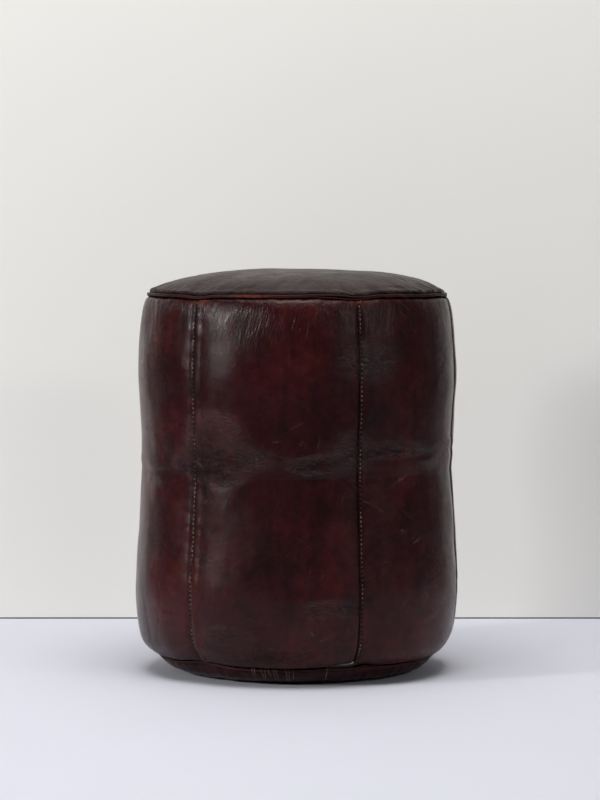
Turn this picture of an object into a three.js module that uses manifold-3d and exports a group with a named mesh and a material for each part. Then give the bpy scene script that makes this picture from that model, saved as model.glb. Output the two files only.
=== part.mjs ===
// A tall drum-shaped leather pouf: a stuffed calico bag inside a hand-sewn leather cover.
// Units are millimetres and +Z is up. The origin is the middle of the base, on the floor, and
// the front faces -Y. Angles round the drum are counted from the front towards +X.
import * as THREE from "three";
import { mergeVertices } from "three/addons/utils/BufferGeometryUtils.js";
import Module from "manifold-3d";

// Driving dimensions
const HEIGHT = 500;
const LEATHER = 2; // thickness of the cover leather
const WELT_LEATHER = 1.5; // thickness of the folded strip in the rim seams
const WELT_SLIT = 0.6; // open space between the two layers of the strip
const CALICO = 1; // thickness of the inner bag's cloth
const GAP = 0.3; // air between pieces that lie against each other
const THREAD = 1; // thickness of the sewing thread
const SEAM_ALLOWANCE = 9; // width of leather turned into a rim seam
const WELT_REACH = 3; // how far the strip stands out past the rim seams

const TOP_SEAM = { radius: 185, height: 465 };
const BASE_SEAM = { radius: 171, height: 18 };
const BASE_FLAT_RADIUS = 126; // part of the base that lies on the floor
const DOME_POWER = 2.8; // the crown is flat in the middle and steeper near its rim
const FOLD_HEIGHT = 254; // the cover was once folded flat here, which left a waist

const PANELS = 6;
const FRONT_PANEL_SPAN = 63; // degrees; the other side panels share the rest equally
const FIRST_SEAM = -40.6; // degrees; the front panel's left edge
const LAP = 8; // how far one side panel lies over the next
const STITCH_INSET = 3; // from the raised edge of a lap to its stitches
const CLOSING = { from: -19, to: 14, stitches: 9 }; // the hand-sewn filling slit, in degrees
const STITCH_FOOT = 12.5; // how far below the base seam the closing stitches reach

const ROUND_SEGMENTS = 32;
const THREAD_SIDES = 6;

// Heights that follow from the layers in the two rim seams
const WELT = 2 * WELT_LEATHER + WELT_SLIT;
const BASE_WELT_FLOOR = BASE_SEAM.height + GAP;
const SIDE_FLOOR = BASE_WELT_FLOOR + WELT + GAP;
const TOP_WELT_FLOOR = TOP_SEAM.height + GAP;
const CROWN_FLOOR = TOP_WELT_FLOOR + WELT + GAP;
const TOP_ALLOWANCE_RADIUS = TOP_SEAM.radius - SEAM_ALLOWANCE;
const BASE_ALLOWANCE_RADIUS = BASE_SEAM.radius - SEAM_ALLOWANCE;

// The inner bag is narrower where it passes the leather turned into the rim seams.
const TOP_NECK = TOP_ALLOWANCE_RADIUS - GAP;
const BASE_NECK = BASE_ALLOWANCE_RADIUS - GAP;
const TOP_HEM = TOP_SEAM.height - LEATHER - THREAD - 3 * GAP;
const BASE_HEM = SIDE_FLOOR + LEATHER + THREAD + 3 * GAP;

const MATERIALS = {
  sideLeather: new THREE.MeshStandardMaterial({ color: 0x34161a, roughness: 0.42 }),
  crownLeather: new THREE.MeshStandardMaterial({ color: 0x3a2426, roughness: 0.4 }),
  weltLeather: new THREE.MeshStandardMaterial({ color: 0x42191b, roughness: 0.5 }),
  darkThread: new THREE.MeshStandardMaterial({ color: 0x5a463c, roughness: 0.7 }),
  paleThread: new THREE.MeshStandardMaterial({ color: 0xb59c82, roughness: 0.8 }),
  calico: new THREE.MeshStandardMaterial({ color: 0xd6cdbb, roughness: 0.95 }),
  wadding: new THREE.MeshStandardMaterial({ color: 0xe2dccf, roughness: 1 }),
};

const pouf = new THREE.Group();

function addPiece(name, geometry, material) {
  const mesh = new THREE.Mesh(geometry, material);
  mesh.name = name;
  pouf.add(mesh);
}

// ---- Outlines, as points (radius, height) ----

const point = (radius, height) => new THREE.Vector2(radius, height);

// The side of the drum from its base seam to its top seam: two bellies with the fold's waist between.
const SIDE_CURVE = new THREE.SplineCurve([
  point(BASE_SEAM.radius + 1, SIDE_FLOOR + 1),
  point(190, 37),
  point(198.3, 67),
  point(200, 122),
  point(193.2, FOLD_HEIGHT),
  point(198.4, 368),
  point(195, 428),
  point(191.5, 452),
  point(TOP_SEAM.radius, TOP_SEAM.height - 1),
]);

// The stations where the side is bent, so that the layers lie parallel.
const SIDE_STEPS = SIDE_CURVE.points.length - 1;

// Points along a stretch of the side, moved inwards by depth (outwards if depth is negative).
function sideOutline(depth, from = 0, to = 1) {
  const outline = [];
  const place = (t) => {
    const along = SIDE_CURVE.getTangent(t);
    outline.push(SIDE_CURVE.getPoint(t).add(point(-along.y, along.x).multiplyScalar(depth)));
  };
  place(from);
  for (let i = 1; i < SIDE_STEPS; i++) {
    const t = i / SIDE_STEPS;
    if (t > from && t < to) place(t);
  }
  place(to);
  return outline;
}

// The crown from its middle to its rim, or to where it meets the turned leather, moved down by depth.
const CROWN_RIM = TOP_SEAM.radius - 1;
const CROWN_STEPS = 5;

function crownOutline(depth, toRim = false) {
  const low = CROWN_FLOOR + 1.3;
  const radii = toRim ? [(TOP_NECK + CROWN_RIM) / 2, CROWN_RIM] : [];
  for (let i = CROWN_STEPS; i >= 0; i--) {
    radii.unshift(TOP_NECK * Math.sin((i / CROWN_STEPS) * (Math.PI / 2)));
  }
  return radii.map((radius) => {
    const rise = (HEIGHT - low) * (1 - (radius / (TOP_SEAM.radius + 1)) ** DOME_POWER);
    return point(radius, low + rise - depth);
  });
}

// The underside from its middle to its rim: flat on the floor, then a quarter-ellipse edge up to the seam.
function baseOutline(depth, steps) {
  const wide = BASE_SEAM.radius - 1 - BASE_FLAT_RADIUS - depth;
  const tall = BASE_SEAM.height - 1 - depth;
  const outline = [point(0, depth)];
  for (let i = 0; i <= steps; i++) {
    const turn = (i / steps) * (Math.PI / 2);
    outline.push(
      point(BASE_FLAT_RADIUS + wide * Math.sin(turn), depth + tall * (1 - Math.cos(turn))),
    );
  }
  return outline;
}

// A round solid about the vertical axis. The outline runs up the outside and down the inside.
function turned(outline) {
  const first = outline[0];
  const closes = first.x > 0 ? [...outline, first.clone()] : outline;
  return new THREE.LatheGeometry(closes, ROUND_SEGMENTS).rotateX(Math.PI / 2);
}

// ---- Joining and cutting ----

const wasm = await Module();
wasm.setup();

function solidOf(geometry) {
  const bare = geometry.clone();
  bare.deleteAttribute("normal");
  bare.deleteAttribute("uv");
  const merged = mergeVertices(bare, 1e-3);
  return new wasm.Manifold(
    new wasm.Mesh({
      numProp: 3,
      vertProperties: merged.attributes.position.array,
      triVerts: new Uint32Array(merged.index.array),
    }),
  );
}

function geometryOf(solid) {
  const mesh = solid.getMesh();
  return new THREE.BufferGeometry()
    .setAttribute("position", new THREE.BufferAttribute(mesh.vertProperties, 3))
    .setIndex(new THREE.BufferAttribute(mesh.triVerts, 1));
}

const radians = THREE.MathUtils.degToRad;
const degrees = THREE.MathUtils.radToDeg;

function around(radius, angle, height = 0) {
  return new THREE.Vector3(
    radius * Math.sin(radians(angle)),
    -radius * Math.cos(radians(angle)),
    height,
  );
}

// A tall wedge between two angles, to cut one stretch out of a round solid.
function wedge(from, to) {
  const reach = 2 * TOP_SEAM.radius;
  const arcSteps = Math.ceil((to - from) / 30);
  const shape = new THREE.Shape().moveTo(0, 0);
  for (let i = 0; i <= arcSteps; i++) {
    const corner = around(reach, from + ((to - from) * i) / arcSteps);
    shape.lineTo(corner.x, corner.y);
  }
  const geometry = new THREE.ExtrudeGeometry(shape, { depth: HEIGHT, bevelEnabled: false });
  return solidOf(geometry);
}

// A thread: a tube along a smooth curve through the points.
function thread(points, steps) {
  const section = new THREE.Shape();
  section.absarc(0, 0, THREAD / 2, 0, 2 * Math.PI);
  return new THREE.ExtrudeGeometry(section, {
    steps,
    curveSegments: THREAD_SIDES / 2,
    extrudePath: new THREE.CatmullRomCurve3(points, false, "centripetal"),
  });
}

// A thread that runs all the way round the drum, as a turned ring.
function threadRing(radius, height) {
  const ring = [];
  for (let i = 0; i < THREAD_SIDES; i++) {
    const turn = (i / THREAD_SIDES) * 2 * Math.PI;
    ring.push(
      point(radius + (THREAD / 2) * Math.cos(turn), height + (THREAD / 2) * Math.sin(turn)),
    );
  }
  return turned(ring);
}

// ---- Filling and inner bag ----

const LINER_DEPTH = LEATHER + 2 * GAP;
const FILLING_DEPTH = LINER_DEPTH + CALICO + GAP;
const SIDE_FROM = 1 / SIDE_STEPS;
const SIDE_TO = 1 - SIDE_FROM;

function makeFilling() {
  const skirt = CALICO + GAP;
  return turned([
    point(0, FILLING_DEPTH),
    point(BASE_FLAT_RADIUS, FILLING_DEPTH),
    point(BASE_NECK - skirt, BASE_SEAM.height - LEATHER - CALICO),
    point(BASE_NECK - skirt, BASE_HEM + skirt),
    ...sideOutline(FILLING_DEPTH, SIDE_FROM, SIDE_TO),
    point(TOP_NECK - skirt, TOP_HEM - skirt),
    ...crownOutline(FILLING_DEPTH).slice(0, -1).reverse(),
  ]);
}

function makeLinerSide() {
  return turned([
    point(BASE_NECK, BASE_HEM),
    ...sideOutline(LINER_DEPTH, SIDE_FROM, SIDE_TO),
    point(TOP_NECK, TOP_HEM),
    point(TOP_NECK, TOP_HEM - CALICO),
    ...sideOutline(LINER_DEPTH + CALICO, SIDE_FROM, SIDE_TO).reverse(),
    point(BASE_NECK, BASE_HEM + CALICO),
  ]);
}

// The bag's round top, with a short skirt that the side is sewn to.
function makeLinerTop() {
  return turned([
    point(TOP_NECK, TOP_HEM + GAP),
    ...crownOutline(LINER_DEPTH).reverse(),
    ...crownOutline(LINER_DEPTH + CALICO).slice(0, -1),
    point(TOP_NECK - CALICO, TOP_HEM + GAP + 2 * CALICO),
    point(TOP_NECK - CALICO, TOP_HEM + GAP),
  ]);
}

// The bag's round base, with the same skirt.
function makeLinerBase() {
  const shoulder = BASE_SEAM.height - LEATHER - 2 * CALICO - GAP;
  return turned([
    point(0, LINER_DEPTH),
    point(BASE_FLAT_RADIUS, LINER_DEPTH),
    point(BASE_NECK, shoulder),
    point(BASE_NECK, BASE_HEM - GAP),
    point(BASE_NECK - CALICO, BASE_HEM - GAP),
    point(BASE_NECK - CALICO, shoulder + CALICO / 2),
    point(BASE_FLAT_RADIUS, LINER_DEPTH + CALICO),
    point(0, LINER_DEPTH + CALICO),
  ]);
}

// ---- Leather cover ----

// A round leather disc for the crown, its edge turned back under itself into the rim seam.
function makeTopPanel() {
  return turned([
    point(TOP_ALLOWANCE_RADIUS, CROWN_FLOOR),
    point(CROWN_RIM - 1, CROWN_FLOOR),
    ...crownOutline(0, true).reverse(),
    ...crownOutline(LEATHER),
    point(TOP_ALLOWANCE_RADIUS, CROWN_FLOOR + 0.9 * LEATHER),
  ]);
}

function makeBottomPanel() {
  return turned([
    ...baseOutline(0, 5),
    point(BASE_SEAM.radius - 2, BASE_SEAM.height),
    point(BASE_ALLOWANCE_RADIUS, BASE_SEAM.height),
    point(BASE_ALLOWANCE_RADIUS, BASE_SEAM.height - 0.9 * LEATHER),
    ...baseOutline(LEATHER, 5).slice(0, -1).reverse(),
  ]);
}

// A strip folded double: its fold lies in the rim seam and its two cut edges stand out as a lip.
function makeWelt(seamRadius, floor) {
  const fold = seamRadius - SEAM_ALLOWANCE;
  const edge = seamRadius + WELT_REACH;
  return turned([
    point(fold, floor),
    point(edge, floor),
    point(edge, floor + WELT_LEATHER),
    point(fold + WELT_LEATHER, floor + WELT_LEATHER),
    point(fold + WELT_LEATHER, floor + WELT - WELT_LEATHER),
    point(edge, floor + WELT - WELT_LEATHER),
    point(edge, floor + WELT),
    point(fold, floor + WELT),
  ]);
}

// The whole side wall, with both its edges turned into the rim seams.
function makeWall() {
  return turned([
    point(BASE_ALLOWANCE_RADIUS, SIDE_FLOOR),
    point(BASE_SEAM.radius - 1.5, SIDE_FLOOR),
    ...sideOutline(0),
    point(TOP_SEAM.radius - 2.5, TOP_SEAM.height),
    point(TOP_ALLOWANCE_RADIUS, TOP_SEAM.height),
    point(TOP_ALLOWANCE_RADIUS, TOP_SEAM.height - LEATHER),
    ...sideOutline(LEATHER).reverse(),
    point(BASE_ALLOWANCE_RADIUS, SIDE_FLOOR + LEATHER),
  ]);
}

const LAP_FROM = 0.06;
const LAP_TO = 0.97;

// A layer that lies outside the wall, between two depths of the side outline.
function makeOuterLayer(outside, inside) {
  return turned([
    ...sideOutline(-outside, LAP_FROM, LAP_TO),
    ...sideOutline(-inside, LAP_FROM, LAP_TO).reverse(),
  ]);
}

// Six side panels. Each panel's left edge lies over the right edge of the panel before it.
function addSidePanels() {
  const wall = solidOf(makeWall());
  const lapLayer = solidOf(makeOuterLayer(GAP + LEATHER, GAP));
  const stepLayer = solidOf(makeOuterLayer(GAP + LEATHER, -LEATHER / 2));
  const threadUnderside = GAP + LEATHER + GAP;
  const threadLayer = solidOf(makeOuterLayer(threadUnderside + THREAD, threadUnderside));
  const arc = (length) => degrees(length / TOP_SEAM.radius);
  const otherSpan = (360 - FRONT_PANEL_SPAN) / (PANELS - 1);

  let seam = FIRST_SEAM;
  for (let i = 1; i <= PANELS; i++) {
    const next = seam + (i === 1 ? FRONT_PANEL_SPAN : otherSpan);
    const stitchLine = seam + arc(STITCH_INSET);
    const start = seam + arc(LAP);
    const body = wall.intersect(wedge(start + arc(GAP), next + arc(LAP - GAP)));
    const step = stepLayer.intersect(wedge(start + arc(GAP), start + arc(LEATHER)));
    const lap = lapLayer.intersect(wedge(seam, start + arc(LEATHER)));
    addPiece(`side_panel_${i}`, geometryOf(body.add(step).add(lap)), MATERIALS.sideLeather);

    const stitches = threadLayer.intersect(wedge(stitchLine, stitchLine + arc(THREAD)));
    addPiece(`side_seam_thread_${i}`, geometryOf(stitches), MATERIALS.darkThread);
    seam = next;
  }
}

// Whip stitches over the base welt, which close the slit that the filling went in by.
function makeClosingThread() {
  const out = THREAD / 2 + 4 * GAP;
  const nose = BASE_SEAM.radius + WELT_REACH + out;
  const pitch = (CLOSING.to - CLOSING.from) / CLOSING.stitches;
  const turns = [
    { share: 0, radius: BASE_SEAM.radius - 2, height: BASE_SEAM.height - STITCH_FOOT },
    { share: 0.2, radius: nose, height: BASE_WELT_FLOOR + WELT / 2 },
    { share: 0.5, radius: BASE_SEAM.radius + 9.5, height: SIDE_FLOOR + 4.5 },
    { share: 0.8, radius: nose, height: BASE_WELT_FLOOR + WELT / 2 },
  ];
  const points = [];
  for (let i = 0; i < CLOSING.stitches; i++) {
    for (const turn of turns) {
      points.push(around(turn.radius, CLOSING.from + pitch * (i + turn.share), turn.height));
    }
  }
  return thread(points, 6 * CLOSING.stitches);
}

// ---- Assembly, from the inside out ----

addPiece("filling", makeFilling(), MATERIALS.wadding);
addPiece("liner_base", makeLinerBase(), MATERIALS.calico);
addPiece("liner_side", makeLinerSide(), MATERIALS.calico);
addPiece("liner_top", makeLinerTop(), MATERIALS.calico);
addPiece("bottom_panel", makeBottomPanel(), MATERIALS.sideLeather);
addPiece("bottom_welt", makeWelt(BASE_SEAM.radius, BASE_WELT_FLOOR), MATERIALS.weltLeather);
addSidePanels();
addPiece("top_welt", makeWelt(TOP_SEAM.radius, TOP_WELT_FLOOR), MATERIALS.weltLeather);
addPiece("top_panel", makeTopPanel(), MATERIALS.crownLeather);

const seamMiddle = SEAM_ALLOWANCE / 2;
const threadAboveBase = SIDE_FLOOR + LEATHER + GAP + THREAD / 2;
const threadBelowTop = TOP_SEAM.height - LEATHER - GAP - THREAD / 2;
addPiece(
  "bottom_rim_thread",
  threadRing(BASE_SEAM.radius - seamMiddle, threadAboveBase),
  MATERIALS.darkThread,
);
addPiece(
  "top_rim_thread",
  threadRing(TOP_SEAM.radius - seamMiddle, threadBelowTop),
  MATERIALS.darkThread,
);
addPiece("closing_thread", makeClosingThread(), MATERIALS.paleThread);

export default pouf;
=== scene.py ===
import functools
import math

import bpy
import numpy as np
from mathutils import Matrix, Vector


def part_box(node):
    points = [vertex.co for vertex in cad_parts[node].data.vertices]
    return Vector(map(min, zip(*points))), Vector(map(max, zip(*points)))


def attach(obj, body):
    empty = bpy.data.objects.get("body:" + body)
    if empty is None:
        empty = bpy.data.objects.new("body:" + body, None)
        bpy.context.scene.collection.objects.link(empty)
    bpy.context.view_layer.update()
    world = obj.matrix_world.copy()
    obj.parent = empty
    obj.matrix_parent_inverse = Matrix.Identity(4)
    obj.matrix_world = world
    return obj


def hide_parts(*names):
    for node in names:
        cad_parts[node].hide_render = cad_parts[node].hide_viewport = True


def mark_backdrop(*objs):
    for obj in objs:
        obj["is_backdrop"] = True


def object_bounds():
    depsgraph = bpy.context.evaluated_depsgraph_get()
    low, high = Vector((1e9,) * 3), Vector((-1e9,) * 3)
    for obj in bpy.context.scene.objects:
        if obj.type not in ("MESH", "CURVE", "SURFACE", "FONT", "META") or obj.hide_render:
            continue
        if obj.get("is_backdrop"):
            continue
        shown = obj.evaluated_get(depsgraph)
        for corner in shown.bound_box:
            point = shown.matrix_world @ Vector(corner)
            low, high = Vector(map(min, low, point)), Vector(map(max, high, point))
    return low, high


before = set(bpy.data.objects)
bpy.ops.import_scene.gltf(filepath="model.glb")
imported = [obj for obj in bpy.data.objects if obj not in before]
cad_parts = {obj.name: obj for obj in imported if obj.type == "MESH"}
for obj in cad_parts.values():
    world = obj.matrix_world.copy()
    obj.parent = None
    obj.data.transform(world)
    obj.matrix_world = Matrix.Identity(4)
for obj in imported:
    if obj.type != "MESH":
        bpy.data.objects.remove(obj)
CAD_LOW, CAD_HIGH = (list(corner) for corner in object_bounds())

bl_info = {
    "name": "Drum Pouf",
    "version": (1, 0, 0),
    "blender": (4, 5, 0),
    "location": "3D View > Sidebar > Pouf",
    "description": "Builds a tall stuffed leather pouf with lapped seams and leather lips",
    "category": "Add Mesh",
}

MM = 0.001
PANEL_COUNT = 6


def node_size(node):
    """The radius, floor and height of a round CAD node, in millimetres."""
    low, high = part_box(node)
    return (high[0] - low[0]) / 2 / MM, low[2] / MM, high[2] / MM


TOP_LIP_RADIUS, TOP_LIP_FLOOR, TOP_LIP_HEIGHT = node_size("top_welt")
BASE_LIP_RADIUS, BASE_LIP_FLOOR, BASE_LIP_HEIGHT = node_size("bottom_welt")
CROWN_HEIGHT = CAD_HIGH[2] / MM

# ---------------------------------------------------------------- sizes and colours


def size_property(name, description, value, **limits):
    return bpy.props.FloatProperty(name=name, description=description, default=value, **limits)


class PoufSizes(bpy.types.PropertyGroup):
    """Sizes that a user would change."""

    leather: size_property("Leather", "Thickness of the cover leather, mm", 2.0, min=1.0, max=4.0)
    lip_leather: size_property(
        "Lip leather", "Thickness of each layer of a lip, mm", 1.7, min=1.0, max=3.0
    )
    front_span: size_property("Front panel", "Angle that the front panel covers, degrees", 63.0)
    first_seam: size_property("First seam", "Angle of the front panel's left edge, degrees", -40.6)
    lap: size_property("Lap", "How far a side panel lies over the next, mm", 8.0)
    stitch_inset: size_property("Stitch inset", "From a raised edge to its stitches, mm", 2.3)
    stitch_pitch: size_property(
        "Stitch pitch", "From one stitch to the next, mm", 5.4, min=3.0, max=12.0
    )
    thread: size_property("Thread", "Thickness of the sewing thread, mm", 0.9, min=0.4, max=2.0)
    scallop: size_property("Scallop", "How far the side seams lie below the bellies, mm", 3.0)
    creasing: size_property(
        "Creasing", "Strength of the wrinkles and puckers", 1.0, min=0.0, max=2.0
    )


def colour_property(name, description, value):
    return bpy.props.FloatVectorProperty(
        name=name, description=description, default=value, subtype="COLOR", size=3, min=0.0, max=1.0
    )


class PoufColours(bpy.types.PropertyGroup):
    """Colours that a user would change."""

    side: colour_property(
        "Side leather", "Main dye of the side and base", (0.0245, 0.0034, 0.0044)
    )
    side_red: colour_property("Red patches", "Where the dye is thinner", (0.068, 0.0082, 0.0072))
    side_dark: colour_property(
        "Dark blotches", "Where the dye has pooled", (0.0054, 0.0018, 0.0024)
    )
    crown: colour_property("Top leather", "Main dye of the round top", (0.02, 0.0095, 0.0085))
    rub: colour_property(
        "Rubbed leather", "Where the dye is worn from edges", (0.17, 0.036, 0.016)
    )
    seam_thread: colour_property(
        "Seam thread", "Waxed thread of the side seams", (0.31, 0.215, 0.14)
    )
    closing_thread: colour_property("Closing thread", "Pale hand stitches", (0.27, 0.14, 0.09))
    calico: colour_property("Calico", "Cloth of the inner bag", (0.62, 0.58, 0.5))
    wadding: colour_property("Wadding", "The filling", (0.7, 0.66, 0.58))
    wall: colour_property("Wall", "Backdrop behind the pouf", (0.8, 0.79, 0.768))
    floor: colour_property("Floor", "Ground under the pouf", (0.61, 0.625, 0.705))


# ---------------------------------------------------------------- fields round the drum

DRUM_RADIUS = 195.0  # mean radius, for arc lengths
ARC = math.radians(1) * DRUM_RADIUS  # mm of arc in one degree
TURN_LENGTH = 360 * ARC
NOISE_TABLE = 512


def fade(x):
    """Eases from 0 to 1 as x goes from 0 to 1."""
    x = np.clip(x, 0, 1)
    return x * x * (3 - 2 * x)


@functools.lru_cache(maxsize=None)
def slope_table(seed):
    """The directions in which the noise slopes at each corner of its lattice."""
    return np.random.default_rng(seed).uniform(0, 2 * np.pi, (NOISE_TABLE, NOISE_TABLE))


def lattice_noise(u, v, seed, cells=NOISE_TABLE):
    """Soft bumps from about -1 to 1 that are one unit wide and repeat after so many cells in u."""
    slopes = slope_table(seed)
    u0, v0 = np.floor(u).astype(int), np.floor(v).astype(int)
    fu, fv = u - u0, v - v0

    def corner(du, dv):
        angle = slopes[(u0 + du) % cells, (v0 + dv) % NOISE_TABLE]
        return np.cos(angle) * (fu - du) + np.sin(angle) * (fv - dv)

    su = fu**3 * (fu * (fu * 6 - 15) + 10)
    sv = fv**3 * (fv * (fv * 6 - 15) + 10)
    low = corner(0, 0) * (1 - su) + corner(1, 0) * su
    high = corner(0, 1) * (1 - su) + corner(1, 1) * su
    return 1.45 * (low * (1 - sv) + high * sv)


def bumps(theta, along, wide, tall, seed):
    """Noise round the drum: bumps so many mm wide round it and so many mm tall along it."""
    cells = max(3, round(TURN_LENGTH / wide))
    return lattice_noise(theta / 360 * cells, along / tall, seed, cells)


def waves(theta, wide, seed):
    """Noise that changes only round the drum."""
    return bumps(theta, 0 * theta, wide, 10, seed)


def lines(theta, along, wide, tall, seed, thin):
    """Thin wandering lines, 1 on a line and 0 away from it."""
    return np.exp(-((bumps(theta, along, wide, tall, seed) / thin) ** 2))


def flat_bumps(x, y, size, seed):
    """Noise on the flat: bumps so many mm across."""
    off_axis = 40  # cells, so that the drum's axis is not at a corner of the table
    return lattice_noise(x / size + off_axis, y / size + off_axis, seed)


def hump(place, middle, reach):
    """1 at the middle, fading to each side of it."""
    return np.exp(-(((place - middle) / reach) ** 2))


def turn_from(theta, angle):
    """Degrees from an angle to theta, the short way round."""
    return (theta - angle + 180) % 360 - 180


def in_patches(theta, height, patches):
    """The amount at a place of soft patches round the drum.

    Each is (angle, height in mm, half-width in degrees, half-height in mm, amount).
    """
    total = 0 * theta
    for angle, middle, wide, tall, share in patches:
        across, up = turn_from(theta, angle) / wide, (height - middle) / tall
        total = total + share * np.exp(-(across**2) - up**2)
    return total


def unit(vectors):
    """The vectors, each made one long."""
    return vectors / np.linalg.norm(vectors, axis=1)[:, None]


LAP_STEP = 1.2  # mm that a lapped edge stands above the panel under it
FIRST_STITCH = 12.0  # mm along the side from its lower edge to the first stitch hole


def seam_angles(sizes):
    """The angles of the six rows of side stitches."""
    other = (360 - sizes.front_span) / (PANEL_COUNT - 1)
    later = sizes.front_span + other * np.arange(PANEL_COUNT - 1)
    return sizes.first_seam + np.concatenate(([0], later)) + sizes.stitch_inset / ARC


def from_seam(theta, sizes):
    """Arc in mm from the nearest row of side stitches, positive to its right."""
    turn = turn_from(theta[..., None], seam_angles(sizes))
    nearest = np.argmin(np.abs(turn), axis=-1)
    return np.take_along_axis(turn, nearest[..., None], axis=-1)[..., 0] * ARC


def across_panel(theta, sizes):
    """How far across its side panel a place is, from 0 at its left stitches to 1 at its right."""
    seams = seam_angles(sizes)
    ends = np.append(seams, seams[0] + 360)
    place = (theta - seams[0]) % 360 + seams[0]
    panel = np.clip(np.searchsorted(ends, place, side="right") - 1, 0, PANEL_COUNT - 1)
    return (place - ends[panel]) / (ends[panel + 1] - ends[panel])


# ---------------------------------------------------------------- outlines


class Outline:
    """A smooth curve through points of radius and height, measured along its length in mm."""

    def __init__(self, points, steps=24):
        knots = np.array(points, float)
        ends = np.vstack((2 * knots[0] - knots[1], knots, 2 * knots[-1] - knots[-2]))
        curve = []
        for i in range(1, len(ends) - 2):
            a, b, c, d = ends[i - 1 : i + 3]
            t = np.linspace(0, 1, steps, endpoint=False)[:, None]
            bend = (2 * a - 5 * b + 4 * c - d) * t**2 + (3 * b - a - 3 * c + d) * t**3
            curve.append(0.5 * (2 * b + (c - a) * t + bend))
        curve = np.vstack(curve + [ends[-2:-1]])
        lengths = np.hypot(*np.diff(curve, axis=0).T)
        self.along = np.concatenate(([0], np.cumsum(lengths)))
        self.length = self.along[-1]
        self.radius, self.height = curve.T
        slope = unit(np.gradient(curve, self.along, axis=0))
        self.out_radius, self.out_height = slope[:, 1], -slope[:, 0]

    def at(self, along):
        """Radius, height and outward direction at places along the outline."""
        return [
            np.interp(along, self.along, values)
            for values in (self.radius, self.height, self.out_radius, self.out_height)
        ]

    def along_at_height(self, height):
        return float(np.interp(height, self.height, self.along))


SIDE = Outline(
    [
        (BASE_LIP_RADIUS - 9, BASE_LIP_HEIGHT + 0.5),
        (BASE_LIP_RADIUS - 0.5, BASE_LIP_HEIGHT + 0.6),
        (182.5, 25.5),
        (191.5, 33.5),
        (197.4, 47),
        (201.4, 74),
        (202.6, 118),
        (198, 190),
        (193.6, 246),
        (193.4, 256),
        (196.6, 325),
        (198.8, 372),
        (196.5, 412),
        (193.4, 446),
        (189.8, 459.5),
        (186, TOP_LIP_FLOOR - 1.7),
        (182, TOP_LIP_FLOOR - 0.9),
        (175, TOP_LIP_FLOOR - 0.9),
    ]
)

DOME_RADIUS = 181.0
DOME_ROUNDING = (11.2, 1.8)  # mm that it falls by at the rim, and how late: gently all over
RIM_ROUNDING = (15.0, 5.4)  # the same, near the rim


def dome_height(radius):
    """The crown is gently round in the middle and falls away towards its rim."""
    part = radius / DOME_RADIUS
    fall = sum(depth * part**power for depth, power in (DOME_ROUNDING, RIM_ROUNDING))
    return CROWN_HEIGHT - 0.5 - fall


CROWN = Outline(
    [(radius, dome_height(radius)) for radius in (0, 45, 85, 118, 145, 165, 177)]
    + [
        (182.2, dome_height(182.2) + 0.6),
        (183.2, TOP_LIP_HEIGHT + 0.9),
        (180.5, TOP_LIP_HEIGHT + 0.35),
        (174, TOP_LIP_HEIGHT + 0.35),
    ],
)
# The crown's outline runs outwards, so its outward side is turned over.
CROWN.out_radius, CROWN.out_height = -CROWN.out_radius, -CROWN.out_height

BASE_FLAT = 124.0
BASE = Outline(
    [(radius, 0.15) for radius in (0, 50, 95, BASE_FLAT)]
    + [
        (138, 0.9),
        (151, 3.2),
        (161, 7.4),
        (168, 13.0),
        (BASE_LIP_RADIUS - 2.6, BASE_LIP_FLOOR - 1.2),
        (BASE_LIP_RADIUS - 5, BASE_LIP_FLOOR - 0.35),
        (BASE_LIP_RADIUS - 11, BASE_LIP_FLOOR - 0.35),
    ]
)
FOLD_HEIGHT, LOW_FOLD_HEIGHT = 266, 74  # mm
FOLD_ALONG = SIDE.along_at_height(FOLD_HEIGHT)

# ---------------------------------------------------------------- how the leather lies


def seam_pull(theta, reach, sizes):
    """1 at a side seam, fading over so many mm: the seams are shorter than the panels they join."""
    return hump(from_seam(theta, sizes), 0, reach)


def top_lip_shift(theta, sizes):
    """Height of the top lip above its mean level, mm: it dips at each side seam."""
    return (
        1.0
        - 2.6 * seam_pull(theta, 26, sizes)
        + 0.9 * waves(theta, 75, 11)
        + 0.35 * waves(theta, 24, 12)
    )


def base_lip_shift(theta, sizes):
    """Height of the base lip above its mean level, mm: it is drawn up at each side seam."""
    return (
        -0.2
        + 4.2 * seam_pull(theta + 1.0, 36, sizes) * (1 - 0.8 * gaping(theta))
        + 0.6 * waves(theta, 80, 13)
        + 0.25 * waves(theta, 22, 14)
    )


GAPING_MIDDLE, GAPING_REACH = 20.0, 7.5  # degrees: where the base seam gapes
GAPE_HEIGHT = 4.3  # mm


def gaping(theta):
    """1 where the base seam gapes and 0 elsewhere."""
    return np.exp(-((turn_from(theta, GAPING_MIDDLE) / GAPING_REACH) ** 4))


def gape(theta, sizes):
    """How far the side has lifted off the base lip, mm."""
    beside_seam = fade(1.65 - from_seam(theta, sizes) / 30)
    return GAPE_HEIGHT * gaping(theta) * beside_seam + 0.9 * seam_pull(theta, 40, sizes)


def off_fold(theta, along):
    """How far above the fold round the middle a place is, mm: the fold wanders up and down."""
    course = 14 * np.sin(np.radians(theta)) + 6 * waves(theta, 120, 32)
    course = course + 3 * waves(theta, 34, 33)
    return along - FOLD_ALONG - course


# Patches of fine wrinkles, as in_patches takes them.
WRINKLED_PATCHES = (
    (-29, 272, 13, 13, 1.0),
    (-32, 300, 9, 20, 0.45),
    (11, 268, 10, 9, 0.9),
    (20, 290, 5, 14, 0.4),
    (38, 283, 11, 7, 0.7),
    (-24, 62, 9, 9, 0.35),
    (-8, 40, 12, 8, 0.8),
    (12, 95, 9, 9, 0.7),
    (26, 392, 8, 20, 0.5),
)


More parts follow.
